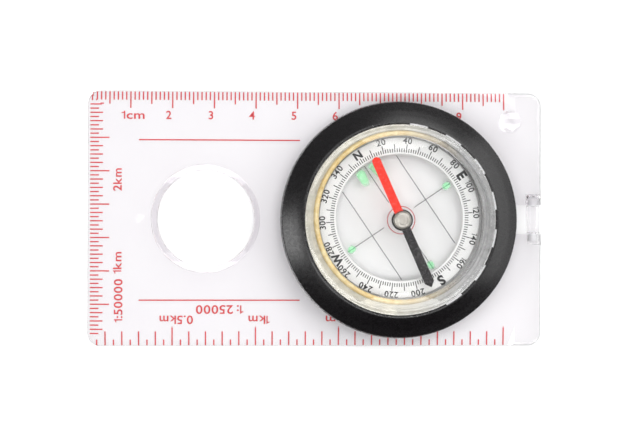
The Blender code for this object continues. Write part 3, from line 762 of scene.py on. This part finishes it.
def make_lens():
    rim_radius = LENS_SEAT_RADIUS - SEAM
    rim_low = LENS_LEDGE_HEIGHT + SEAM
    rim_high = PLATE_THICKNESS - 0.2 * MM
    foot_radius = LENS_LEDGE_RADIUS - SEAM
    sphere = (LENS_CLEAR_RADIUS**2 + LENS_DOME_HEIGHT**2) / (2 * LENS_DOME_HEIGHT)
    rings = 24
    dome = []
    for i in range(rings):
        radius = LENS_CLEAR_RADIUS * i / rings
        sag = sphere - math.sqrt(sphere**2 - radius**2)
        dome.append((radius, rim_high + LENS_DOME_HEIGHT - sag))
    body = [
        (LENS_CLEAR_RADIUS, rim_high),
        (rim_radius, rim_high),
        (rim_radius, rim_low),
        (foot_radius, rim_low),
        (foot_radius, GAP),
        (0.0, GAP),
    ]
    profile = dome + softened(body, closed=False)
    lens = new_object("magnifier", turned(profile, closed=False), LENS_ACRYLIC)
    lens.data.materials.append(ACRYLIC)
    for face in lens.data.polygons:
        face.material_index = 1 if face.center.xy.length > LENS_CLEAR_RADIUS else 0
    smooth(lens, 25.0)
    place(lens, "base", "lens_acrylic", Matrix.Translation((LENS.x, 0.0, 0.0)), ["magnifier_lens"])


def make_lanyard_bar():
    low = (BAR.x - BAR_WIDTH / 2, BAR.z - BAR_THICKNESS / 2)
    high = (BAR.x + BAR_WIDTH / 2, BAR.z + BAR_THICKNESS / 2)
    half_length = NOTCH_HALF_WIDTH - GAP
    outline = rounded_rectangle(low, high, 0.9 * MM, steps=8)
    bm = along_y(extruded(outline, -half_length, half_length))
    ends = [edge for edge in bm.edges if abs(edge.verts[0].co.y - edge.verts[1].co.y) < 1e-9]
    bmesh.ops.bevel(bm, geom=ends, offset=0.15 * MM, segments=3, profile=0.5, affect="EDGES")
    link = new_object("lanyard_link", bm, ACRYLIC)
    peg_reach = NOTCH_HALF_WIDTH + BAR_PEG_LENGTH
    pegs = extruded(circle((BAR.x, BAR.z), BAR_PEG_RADIUS, 32), -peg_reach, peg_reach)
    boolean(link, new_object("pegs", along_y(pegs), FROSTED), "UNION")
    smooth(link)
    place(link, "base", "clear_acrylic", stands_for=["lanyard_bar"])


def make_stud():
    low = PLATE_THICKNESS + GAP
    high = low + STUD_HEIGHT
    profile = [
        (0.0, high),
        (STUD_TOP_RADIUS - 0.1 * MM, high - 0.05 * MM),
        (STUD_FOOT_RADIUS - 0.2 * MM, low + 0.5 * MM),
        (STUD_FOOT_RADIUS, low),
        (0.0, low),
    ]
    bm = turned(softened(profile, 0.3 * MM, closed=False), 96, closed=False)
    stud = new_object("stud", bm, ACRYLIC)
    smooth(stud)
    place(stud, "base", "clear_acrylic", Matrix.Translation((STUD.x, STUD.y, 0.0)), ["bumper_stud"])


# ---- Lettering


def figure_one():
    """A figure one with a flag, which the built-in font draws as a plain stroke."""
    stem = [(0.22, 0.0), (0.345, 0.0), (0.345, 1.0), (0.27, 1.0)]
    flag = [(0.19, 0.87), (0.0, 0.82), (0.0, 0.72), (0.22, 0.74)]
    return extruded(stem + flag, 0.0, 1.0)


def built_in_letter(character, weight):
    digit_height = 0.682
    curve = bpy.data.curves.new("letter", "FONT")
    curve.body = character
    curve.offset = weight
    curve.extrude = 0.5
    curve.resolution_u = 4
    holder = added("letter", curve)
    mesh = evaluated_mesh(holder)
    bpy.data.objects.remove(holder)
    bm = bmesh.new()
    bm.from_mesh(mesh)
    bpy.data.meshes.remove(mesh)
    bmesh.ops.remove_doubles(bm, verts=bm.verts, dist=1e-5)
    left = min(v.co.x for v in bm.verts)
    bm.transform(Matrix.Translation((-left / digit_height, 0.0, 0.5)) @ Matrix.Diagonal(
        (1.0 / digit_height, 1.0 / digit_height, 1.0, 1.0)
    ))
    return bm


def lettering(text, height, width=None, weight=0.012, spacing=0.13):
    """Flat letters, with the left end at x = 0 and the baseline on y = 0."""
    parts = []
    x = 0.0
    for character in text:
        if character == " ":
            x += 2 * spacing
            continue
        letter = figure_one() if character == "1" else built_in_letter(character, weight)
        advance = letter_width(letter) + spacing
        parts.append(moved(letter, x))
        x += advance
    bm = joined(parts)
    stretch = height if width is None else width / letter_width(bm)
    bm.transform(Matrix.Diagonal((stretch, height, INK_THICKNESS, 1.0)))
    return bm


def letter_width(bm):
    return max(v.co.x for v in bm.verts)


def make_plate_print():
    """Ruler ticks, map scales and their figures, printed on the plate's underside."""
    z = PLATE_INK_Z
    width = PLATE_LINE_WIDTH
    zero_x = PLATE_LOW.x
    inset = 0.2 * MM
    parts = []

    def tick(x, edge, length):
        """A stroke from just inside a long edge towards the plate's middle."""
        inwards = -math.copysign(1.0, edge)
        start = edge + inwards * inset
        parts.append(bar((x, start), (x, start + inwards * length), width, z))

    # Centimetres along the +Y edge. The label of the first one is below.
    for k in range(1, 101):
        length = 4.2 if k % 10 == 0 else 3.2 if k % 5 == 0 else 2.2
        tick(zero_x + k * MM, PLATE_HIGH.y, length * MM - inset)
    height = 1.9 * MM
    baseline = 23.9 * MM
    for k in range(2, 10):
        figure = lettering(str(k), height)
        right_edge = zero_x + k * 10.0 * MM - 0.3 * MM
        parts.append(moved(figure, right_edge - letter_width(figure), baseline, z))

    # 1:25000 along the -Y edge, which is read with the plate turned round.
    for k in range(2, 101, 2):
        length = 4.35 if k % 20 == 0 else 3.4 if k % 4 == 0 else 1.4
        tick(zero_x + k * MM, PLATE_LOW.y, length * MM)

    # 1:50000 along the -X edge.
    start_x = zero_x + 0.5 * MM
    for n in range(56):
        y = (27.4 - n) * MM
        steps_from_long = round((y + 20.67 * MM) / MM)
        is_long = steps_from_long % 8 == 0 and n > 0
        length = 4.95 if is_long else 3.6 if steps_from_long % 2 == 0 else 2.6
        parts.append(bar((start_x, y), (zero_x + length * MM, y), width, z))

    # Labels: the text, where it starts, its height, its length and its direction.
    for text, x, y, tall, long, turn in (
        ("1cm", 7.8, 23.9, 1.9, 5.5, 0.0),
        ("0.5km", 25.0, -23.35, 1.95, 8.0, math.pi),
        ("1km", 43.4, -23.35, 1.95, 5.1, math.pi),
        ("1.5km", 64.9, -23.35, 1.95, 8.0, math.pi),
        ("1: 25000", 37.1, -20.85, 2.0, 11.4, math.pi),
        ("2km", 7.85, 6.6, 1.95, 5.4, QUARTER_TURN),
        ("1km", 7.85, -13.25, 1.95, 5.2, QUARTER_TURN),
        ("1:50000", 8.1, -24.95, 1.95, 10.4, QUARTER_TURN),
    ):
        label = lettering(text, tall * MM, long * MM)
        where = Matrix.Translation((zero_x + x * MM, y * MM, z))
        label.transform(where @ Matrix.Rotation(turn, 4, "Z"))
        parts.append(label)

    # The two lines beside the magnifier.
    for y in (18.9 * MM, -19.6 * MM):
        parts.append(bar((zero_x + 12.0 * MM, y), (zero_x + 50.6 * MM, y), width, z))

    printing = new_object("plate_print", joined(parts), RED_INK)
    place(printing, "base", "clear_acrylic")


# ---- Housing


def make_bezel():
    groove_inner = FRICTION_INNER_RADIUS - GAP
    groove_outer = FRICTION_OUTER_RADIUS + GAP
    groove_top = BEZEL_LOW_Z + FRICTION_HEIGHT + GAP
    shoulder = BEZEL_RADIUS - BEZEL_WALL_DRAFT
    profile = [
        (BEZEL_BORE_RADIUS, BEZEL_TOP_Z),
        (BEZEL_NOTCH_RADIUS + 0.2 * MM, BEZEL_TOP_Z),
        (BEZEL_CREASE_RADIUS, BEZEL_CREASE_Z),
        (26.0 * MM, 7.05 * MM),
        (shoulder - 0.15 * MM, BEZEL_SHOULDER_Z),
        (shoulder, BEZEL_SHOULDER_Z - 0.15 * MM),
        (BEZEL_RADIUS, BEZEL_LOW_Z + 0.3 * MM),
        (BEZEL_RADIUS - 0.3 * MM, BEZEL_LOW_Z),
        (groove_outer, BEZEL_LOW_Z),
        (groove_outer, groove_top),
        (groove_inner, groove_top),
        (groove_inner, BEZEL_LOW_Z),
        (SLEEVE_RADIUS, BEZEL_LOW_Z),
        (SLEEVE_RADIUS, SLEEVE_LOW_Z),
        (BEZEL_BORE_RADIUS, SLEEVE_LOW_Z),
    ]
    bezel = new_object("bezel", turned(softened(profile, 0.5 * MM)), BLACK)
    notches = ring_of_blocks(
        BEZEL_BORE_RADIUS - SPILL,
        BEZEL_NOTCH_RADIUS,
        NOTCH_FLOOR_Z,
        BEZEL_TOP_Z + SPILL,
        NOTCH_DEGREES,
        range(NOTCH_COUNT),
    )
    boolean(bezel, new_object("notches", notches))
    smooth(bezel)
    place(bezel, "housing", "black_plastic", HOUSING, ["bezel_ring"])


def make_capsule_base():
    profile = [
        (0.0, CAPSULE_FLOOR_Z),
        (CAVITY_RADIUS, CAPSULE_FLOOR_Z),
        (CAVITY_RADIUS, SEAL_SEAT_Z),
        (SEAL_SEAT_RADIUS, SEAL_SEAT_Z),
        (SEAL_SEAT_RADIUS, CAPSULE_RIM_Z),
        (CAPSULE_RADIUS, CAPSULE_RIM_Z),
        (CAPSULE_RADIUS, CAPSULE_LOW_Z),
        (0.0, CAPSULE_LOW_Z),
    ]
    bm = turned(softened(profile, closed=False), closed=False)
    cup = new_object("capsule_cup", bm, CAPSULE_ACRYLIC)
    boss_at = (HOUSING.inverted() @ PIVOT).xy
    boss_profile = [
        (0.0, PIVOT_BOSS_Z),
        (PIVOT_BOSS_RADIUS, PIVOT_BOSS_Z),
        (PIVOT_BOSS_RADIUS, CAPSULE_FLOOR_Z - 0.5 * MM),
        (0.0, CAPSULE_FLOOR_Z - 0.5 * MM),
    ]
    boss = moved(turned(softened(boss_profile, closed=False), closed=False), *boss_at)
    boolean(cup, new_object("boss", boss), "UNION")
    pin_hole = extruded(circle(boss_at, PIN_HOLE_RADIUS, 48), PIN_HOLE_LOW_Z, PIVOT_BOSS_Z + SPILL)
    boolean(cup, new_object("pin_hole", pin_hole))
    hole = circle((HOUSING.inverted() @ FILL_HOLE).xy, FILL_HOLE_RADIUS, 48)
    fill_hole = extruded(hole, CAPSULE_LOW_Z - SPILL, CAPSULE_FLOOR_Z + SPILL)
    boolean(cup, new_object("fill_hole", fill_hole))
    # The rim's inner faces get the seal film, with grey painted shade on the housing's east side.
    cup.data.materials.append(SEAL_FILM)
    for face in cup.data.polygons:
        inside = face.center.xy.length < CAPSULE_RADIUS - SEAM
        on_rim = inside and face.center.z > SEAL_SEAT_Z - 0.01 * MM
        face.material_index = 1 if on_rim else 0
    smooth(cup)
    place(cup, "housing", "clear_acrylic", HOUSING, ["capsule_base"])


def make_capsule_cover():
    """The lid. Its tabs are frosted on the housing's east side, where the pale frosting is painted
    light, and clear on the west.
    """
    crown_start = 0.6 * CAPSULE_RADIUS
    profile = [
        (0.0, COVER_TOP_Z),
        (crown_start, COVER_TOP_Z - 0.16 * MM),
        (CAPSULE_RADIUS - 1.0 * MM, COVER_EDGE_Z),
        (CAPSULE_RADIUS - 0.3 * MM, COVER_EDGE_Z - 0.12 * MM),
        (CAPSULE_RADIUS, COVER_SHOULDER_Z),
        (CAPSULE_RADIUS, COVER_LOW_Z),
        (0.0, COVER_LOW_Z),
    ]
    bm = turned(softened(profile, 0.08 * MM, closed=False), closed=False)
    cover = new_object("capsule_lid", bm, CAPSULE_ACRYLIC)
    inner = CAPSULE_RADIUS - 0.4 * MM
    # The pale frosted east tabs are painted light falling on that side.
    east = range(8, 15)
    west = [i for i in range(NOTCH_COUNT) if i not in east]
    for numbers, finish in ((east, FROSTED), (west, CAPSULE_ACRYLIC)):
        tabs = ring_of_blocks(inner, TAB_RADIUS, COVER_LOW_Z, TAB_HIGH_Z, TAB_DEGREES, numbers)
        boolean(cover, new_object("tabs", tabs, finish), "UNION")
    smooth(cover)
    place(cover, "housing", "clear_acrylic", HOUSING, ["capsule_cover"])


def make_seal():
    """A bead of sealant with a round top, on its seat in the cup's rim."""
    low = SEAL_SEAT_Z + SEAM
    inner = SEAL_INNER_RADIUS
    outer = SEAL_OUTER_RADIUS
    middle = (inner + outer) / 2
    half = (outer - inner) / 2
    side = low + 0.2 * MM
    rise = CAPSULE_RIM_Z + 0.2 * MM - side
    crown = [
        (middle + half * math.cos(a), side + rise * math.sin(a))
        for a in (math.pi * i / 16 for i in range(17))
    ]
    seal = new_object("seal_bead", turned([(inner, low), (outer, low)] + crown), AMBER)
    smooth(seal)
    place(seal, "housing", "amber_seal", DIAL, ["capsule_seal"])


def make_dial_ring():
    edge = 0.15 * MM
    profile = [
        (DIAL_INNER_RADIUS, DIAL_TOP_Z - edge),
        (DIAL_INNER_RADIUS + edge, DIAL_TOP_Z),
        (DIAL_OUTER_RADIUS, DIAL_TOP_Z),
        (DIAL_OUTER_RADIUS, DIAL_LOW_Z),
        (DIAL_INNER_RADIUS, DIAL_LOW_Z),
    ]
    dial = new_object("dial", turned(softened(profile, 0.08 * MM)), DIAL_WHITE)
    smooth(dial)
    place(dial, "housing", "dial_white", DIAL, ["dial_ring"])


def dial_turn(degrees):
    """A turn that takes the dial's north to a bearing, clockwise seen from above."""
    return Matrix.Rotation(-math.radians(degrees), 4, "Z")


def make_dial_print():
    """Degree ticks, figures and cardinal letters, each upright when it is at the top."""
    z = DIAL_TOP_Z + 0.01 * MM
    cardinals = {0: "N", 90: "E", 180: "S", 270: "W"}
    tick_start = 15.6 * MM
    parts = []
    for bearing in range(0, 360, 2):
        under_letter = (bearing + 5) % 90 < 10
        outer = 16.5 * MM
        if bearing % 10 == 0:
            outer = 16.9 * MM if under_letter else 17.5 * MM
        tick = bar((0.0, tick_start), (0.0, outer), DIAL_LINE_WIDTH, z)
        tick.transform(dial_turn(bearing))
        parts.append(tick)
        if bearing in cardinals:
            height = 2.2 * MM if bearing in (90, 180) else 1.8 * MM
            mark = lettering(cardinals[bearing], height, weight=0.045)
            foot = 16.9 * MM
        elif bearing % 20 == 0:
            mark = lettering(str(bearing), 1.4 * MM, weight=0.02)
            foot = 17.7 * MM
        else:
            continue
        mark.transform(dial_turn(bearing) @ Matrix.Translation((-letter_width(mark) / 2, foot, z)))
        parts.append(mark)
    printing = new_object("dial_print", joined(parts), BLACK_INK)
    place(printing, "housing", "dial_white", DIAL)


def make_orienting_lines():
    """The lines on the capsule's floor, their ends on the paint, and a ring of painted shade round the
    pivot, just inside the boss's edge.
    """
    z = CAPSULE_FLOOR_Z + 0.02 * MM
    reach = 14.8 * MM
    boss = PIVOT_BOSS_RADIUS + 0.9 * MM
    spacing = 7.75 * MM
    parts = []
    for x in (-spacing, spacing):
        half = math.sqrt(reach**2 - x**2)
        parts.append(bar((x, -half), (x, half), FLOOR_LINE_WIDTH, z))
    for side in (-1, 1):
        parts.append(bar((0.0, side * boss), (0.0, side * reach), FLOOR_LINE_WIDTH, z))
        parts.append(bar((side * boss, 0.0), (side * 14.5 * MM, 0.0), FLOOR_LINE_WIDTH, z))
    lines = new_object("orienting_lines", joined(parts), GREY_INK)
    place(lines, "housing", "clear_acrylic", DIAL)

    z = LUME_TOP_Z + 0.02 * MM
    ends = []
    for quarters in (1, 2, 3):
        end = bar((0.0, 12.7 * MM), (0.0, 14.7 * MM), FLOOR_LINE_WIDTH, z)
        end.transform(Matrix.Rotation(quarters * QUARTER_TURN, 4, "Z"))
        ends.append(end)
    place(new_object("line_ends", joined(ends), GREEN_INK), "housing", "luminous_green", DIAL)

    # A thin ring of painted shade on the boss's top, where its edge shows as a line.
    outer = PIVOT_BOSS_RADIUS - 0.05 * MM
    inner = outer - 0.22 * MM
    low = PIVOT_BOSS_Z + 0.02 * MM
    high = low + INK_THICKNESS
    ring = turned([(inner, high), (outer, high), (outer, low), (inner, low)], 128)
    place(new_object("boss_edge_painted_shade_ring", ring, BOSS_EDGE_PAINTED_SHADE), "housing", "clear_acrylic", BOSS)


# ---- Needle


def make_needle():
    """One strip: a red north arm, a black hub and a black south arm."""
    hub_side = math.asin(NEEDLE_HALF_WIDTH / NEEDLE_HUB_RADIUS)
    tip_centre = (0.0, NEEDLE_NORTH - NEEDLE_HALF_WIDTH)
    shoulder = -(NEEDLE_SOUTH - NEEDLE_GABLE)
    up = QUARTER_TURN
    outline = arc(tip_centre, NEEDLE_HALF_WIDTH, 0.0, math.pi, 32)
    outline += arc((0.0, 0.0), NEEDLE_HUB_RADIUS, up + hub_side, 3 * up - hub_side, 32)
    outline += [
        (-NEEDLE_TAIL_HALF_WIDTH, shoulder),
        (0.0, -NEEDLE_SOUTH),
        (NEEDLE_TAIL_HALF_WIDTH, shoulder),
    ]
    outline += arc((0.0, 0.0), NEEDLE_HUB_RADIUS, hub_side - up, up - hub_side, 32)
    strip = new_object("needle_strip", extruded(outline, NEEDLE_Z, NEEDLE_Z + NEEDLE_THICKNESS), RED)
    eye = extruded(circle((0.0, 0.0), NEEDLE_EYE_RADIUS, 64), NEEDLE_Z - SPILL, NEEDLE_Z + SPILL)
    boolean(strip, new_object("eye", eye))
    bm = bmesh.new()
    bm.from_mesh(strip.data)
    edges = [e for e in bm.edges if abs(e.verts[0].co.z - e.verts[1].co.z) < 1e-9]
    edges = [e for e in edges if e.calc_face_angle(0.0) > math.radians(60)]
    bmesh.ops.bevel(bm, geom=edges, offset=0.06 * MM, segments=2, profile=0.5, affect="EDGES")
    bm.to_mesh(strip.data)
    bm.free()
    half = NEEDLE_HALF_WIDTH
    divided(strip, (((0, 0, 0), (0, 1, 0)), ((-half, 0, 0), (1, 0, 0)), ((half, 0, 0), (1, 0, 0))))
    strip.data.materials.append(NEEDLE_BLACK)
    for face in strip.data.polygons:
        on_red_arm = face.center.y > 0 and abs(face.center.x) < half + 0.01 * MM
        face.material_index = 0 if on_red_arm else 1
    smooth(strip)
    place(strip, "needle", "needle_red", NEEDLE, ["needle_blade"])


def make_needle_cap():
    """A pressed cap: a rolled rim, a dished shoulder and a raised crown."""
    rise = CAP_TOP_Z - CAP_LOW_Z
    profile = [
        (0.0, CAP_TOP_Z - 0.02 * MM),
        (0.42 * CAP_RADIUS, CAP_TOP_Z),
        (0.55 * CAP_RADIUS, CAP_TOP_Z - 0.09 * rise),
        (0.74 * CAP_RADIUS, CAP_TOP_Z - 0.12 * rise),
        (0.88 * CAP_RADIUS, CAP_TOP_Z - 0.30 * rise),
        (0.95 * CAP_RADIUS, CAP_TOP_Z - 0.62 * rise),
        (0.95 * CAP_RADIUS, CAP_LOW_Z + 0.15 * rise),
        (CAP_RADIUS - 0.1 * MM, CAP_LOW_Z),
        (CAP_HOLLOW_RADIUS, CAP_LOW_Z),
        (CAP_HOLLOW_RADIUS, CAP_HOLLOW_Z),
        (0.0, CAP_HOLLOW_Z),
    ]
    bm = turned(softened(profile, 0.3 * MM, 5, closed=False), 128, closed=False)
    cap = new_object("needle_button", bm, SILVER)
    smooth(cap)
    place(cap, "needle", "cap_silver", NEEDLE, ["needle_cap"])


def dress_cad_nodes():
    """The inner pieces keep their CAD shape and get finished materials."""
    finishes = {
        "retaining_ring": BLACK,
        "friction_ring": NYLON,
        "fill_plug": DIAL_WHITE,
        "pivot_pin": STEEL,
        "jewel_cup": BRASS,
    }
    north_turn = math.atan2(-NORTH.x, NORTH.y)
    for name, turn, across, along in (
        ("lume_north_left", 0.0, 1.7, 2.45),
        ("lume_north_right", 0.0, 1.7, 2.45),
        ("lume_east", QUARTER_TURN, 1.0, 1.2),
        ("lume_south", 0.0, 1.0, 1.2),
        ("lume_west", QUARTER_TURN, 1.0, 1.2),
    ):
        finishes[name] = luminous_paint(name, north_turn + turn, across * MM, along * MM)
    for name, finish in finishes.items():
        mesh = frame["nodes"][name].data
        mesh.materials.clear()
        mesh.materials.append(finish)


# ---- Stage


def make_floor():
    half = 3.0
    bm = bmesh.new()
    corners = ((-half, -half), (half, -half), (half, half), (-half, half))
    bm.faces.new([bm.verts.new((x, y, -0.05 * MM)) for x, y in corners])
    surface = Surface("floor", Roughness=0.9)
    surface.shader.inputs["Specular IOR Level"].default_value = 0.0
    surface.coloured(surface.noise(0.4, 2.0), (0.91, 0.91, 0.91), (0.93, 0.93, 0.93))
    floor = new_object("floor", bm, surface.material)


def soft_panel(name, azimuth, from_zenith, distance, width, height, radiance):
    """A square soft light that faces the object. Azimuth runs counterclockwise from +X."""
    light = bpy.data.lights.new(name, "AREA")
    light.shape = "RECTANGLE"
    light.size = width
    light.size_y = height
    light.energy = radiance * math.pi * width * height
    lamp = added(name, light)
    a, e = math.radians(azimuth), math.radians(from_zenith)
    away = Vector((math.sin(e) * math.cos(a), math.sin(e) * math.sin(a), math.cos(e)))
    lamp.location = away * distance
    lamp.rotation_euler = away.to_track_quat("Z", "Y").to_euler()
    lamp.visible_camera = False


def make_world():
    """Dim surroundings, darker on the -Y side, with a bright horizon. The camera sees them plain."""
    world = bpy.data.worlds.new("studio")
    world.use_nodes = True
    bpy.context.scene.world = world
    nodes = world.node_tree.nodes
    link = world.node_tree.links.new
    surroundings = nodes["Background"]
    surroundings.inputs["Color"].default_value = (1.0, 1.0, 1.0, 1.0)
    split = nodes.new("ShaderNodeSeparateXYZ")
    link(nodes.new("ShaderNodeTexCoord").outputs["Generated"], split.inputs["Vector"])
    total = nodes.new("ShaderNodeMath")
    total.operation = "ADD"
    for i, (axis, *ends) in enumerate((("Y", -0.8, 0.8, 0.04, 0.34), ("Z", 0.2, 0.4, 0.6, 0.0))):
        shade = nodes.new("ShaderNodeMapRange")
        for socket, value in zip(("From Min", "From Max", "To Min", "To Max"), ends):
            shade.inputs[socket].default_value = value
        link(split.outputs[axis], shade.inputs["Value"])
        link(shade.outputs["Result"], total.inputs[i])
    link(total.outputs["Value"], surroundings.inputs["Strength"])
    mix = nodes.new("ShaderNodeMixShader")
    link(nodes.new("ShaderNodeLightPath").outputs["Is Camera Ray"], mix.inputs["Fac"])
    link(surroundings.outputs["Background"], mix.inputs[1])
    link(nodes.new("ShaderNodeBackground").outputs["Background"], mix.inputs[2])
    link(mix.outputs["Shader"], nodes["World Output"].inputs["Surface"])


def make_lights():
    """The two nearest panels are on the right, so the plate is brightest there."""
    soft_panel("key", 30.0, 32.0, 0.7, 0.35, 0.35, 1.85)
    soft_panel("right_panel", 6.0, 56.0, 0.55, 0.66, 0.27, 2.1)
    soft_panel("top_panel", 70.0, 44.0, 1.2, 0.6, 0.45, 2.8)
    soft_panel("left_panel", 191.0, 54.0, 1.2, 0.44, 0.36, 6.6)
    soft_panel("fill_panel", 214.0, 30.0, 1.2, 0.5, 0.4, 2.4)
    soft_panel("far_strip", 90.0, 16.0, 1.2, 1.0, 0.3, 3.5)
    soft_panel("near_strip", 270.0, 16.0, 1.2, 1.0, 0.3, 4.9)


def make_camera():
    """Almost straight above the plate, a little to the left of its middle, and level with it."""
    data = bpy.data.cameras.new("camera")
    data.sensor_width = 36.0
    data.lens = 70.03
    data.clip_start = 0.01
    data.clip_end = 10.0
    camera = added("camera", data)
    location = Vector((-10.57, -0.76, 301.0)) * MM
    target = Vector((1.257, -0.139, 0.0)) * MM
    roll = 0.0028
    forward = (target - location).normalized()
    right = forward.cross(Vector((0.0, 1.0, 0.0))).normalized()
    up = right.cross(forward)
    rolled_right = math.cos(roll) * right + math.sin(roll) * up
    rolled_up = math.cos(roll) * up - math.sin(roll) * right
    turn = Matrix((rolled_right, rolled_up, -forward)).transposed().to_4x4()
    camera.matrix_world = Matrix.Translation(location) @ turn
    bpy.context.scene.camera = camera


def set_rendering():
    scene = bpy.context.scene
    scene.view_settings.view_transform = "Standard"
    scene.cycles.max_bounces = 32
    scene.cycles.glossy_bounces = 24
    scene.cycles.transmission_bounces = 24
    scene.cycles.transparent_max_bounces = 32
    scene.cycles.caustics_refractive = False
    scene.cycles.caustics_reflective = False


make_camera()
make_world()
make_lights()
make_floor()
make_baseplate()
make_lens()
make_lanyard_bar()
make_stud()
make_plate_print()
make_bezel()
make_capsule_base()
make_capsule_cover()
make_seal()
make_dial_ring()
make_dial_print()
make_orienting_lines()
make_needle()
make_needle_cap()
dress_cad_nodes()
set_rendering()
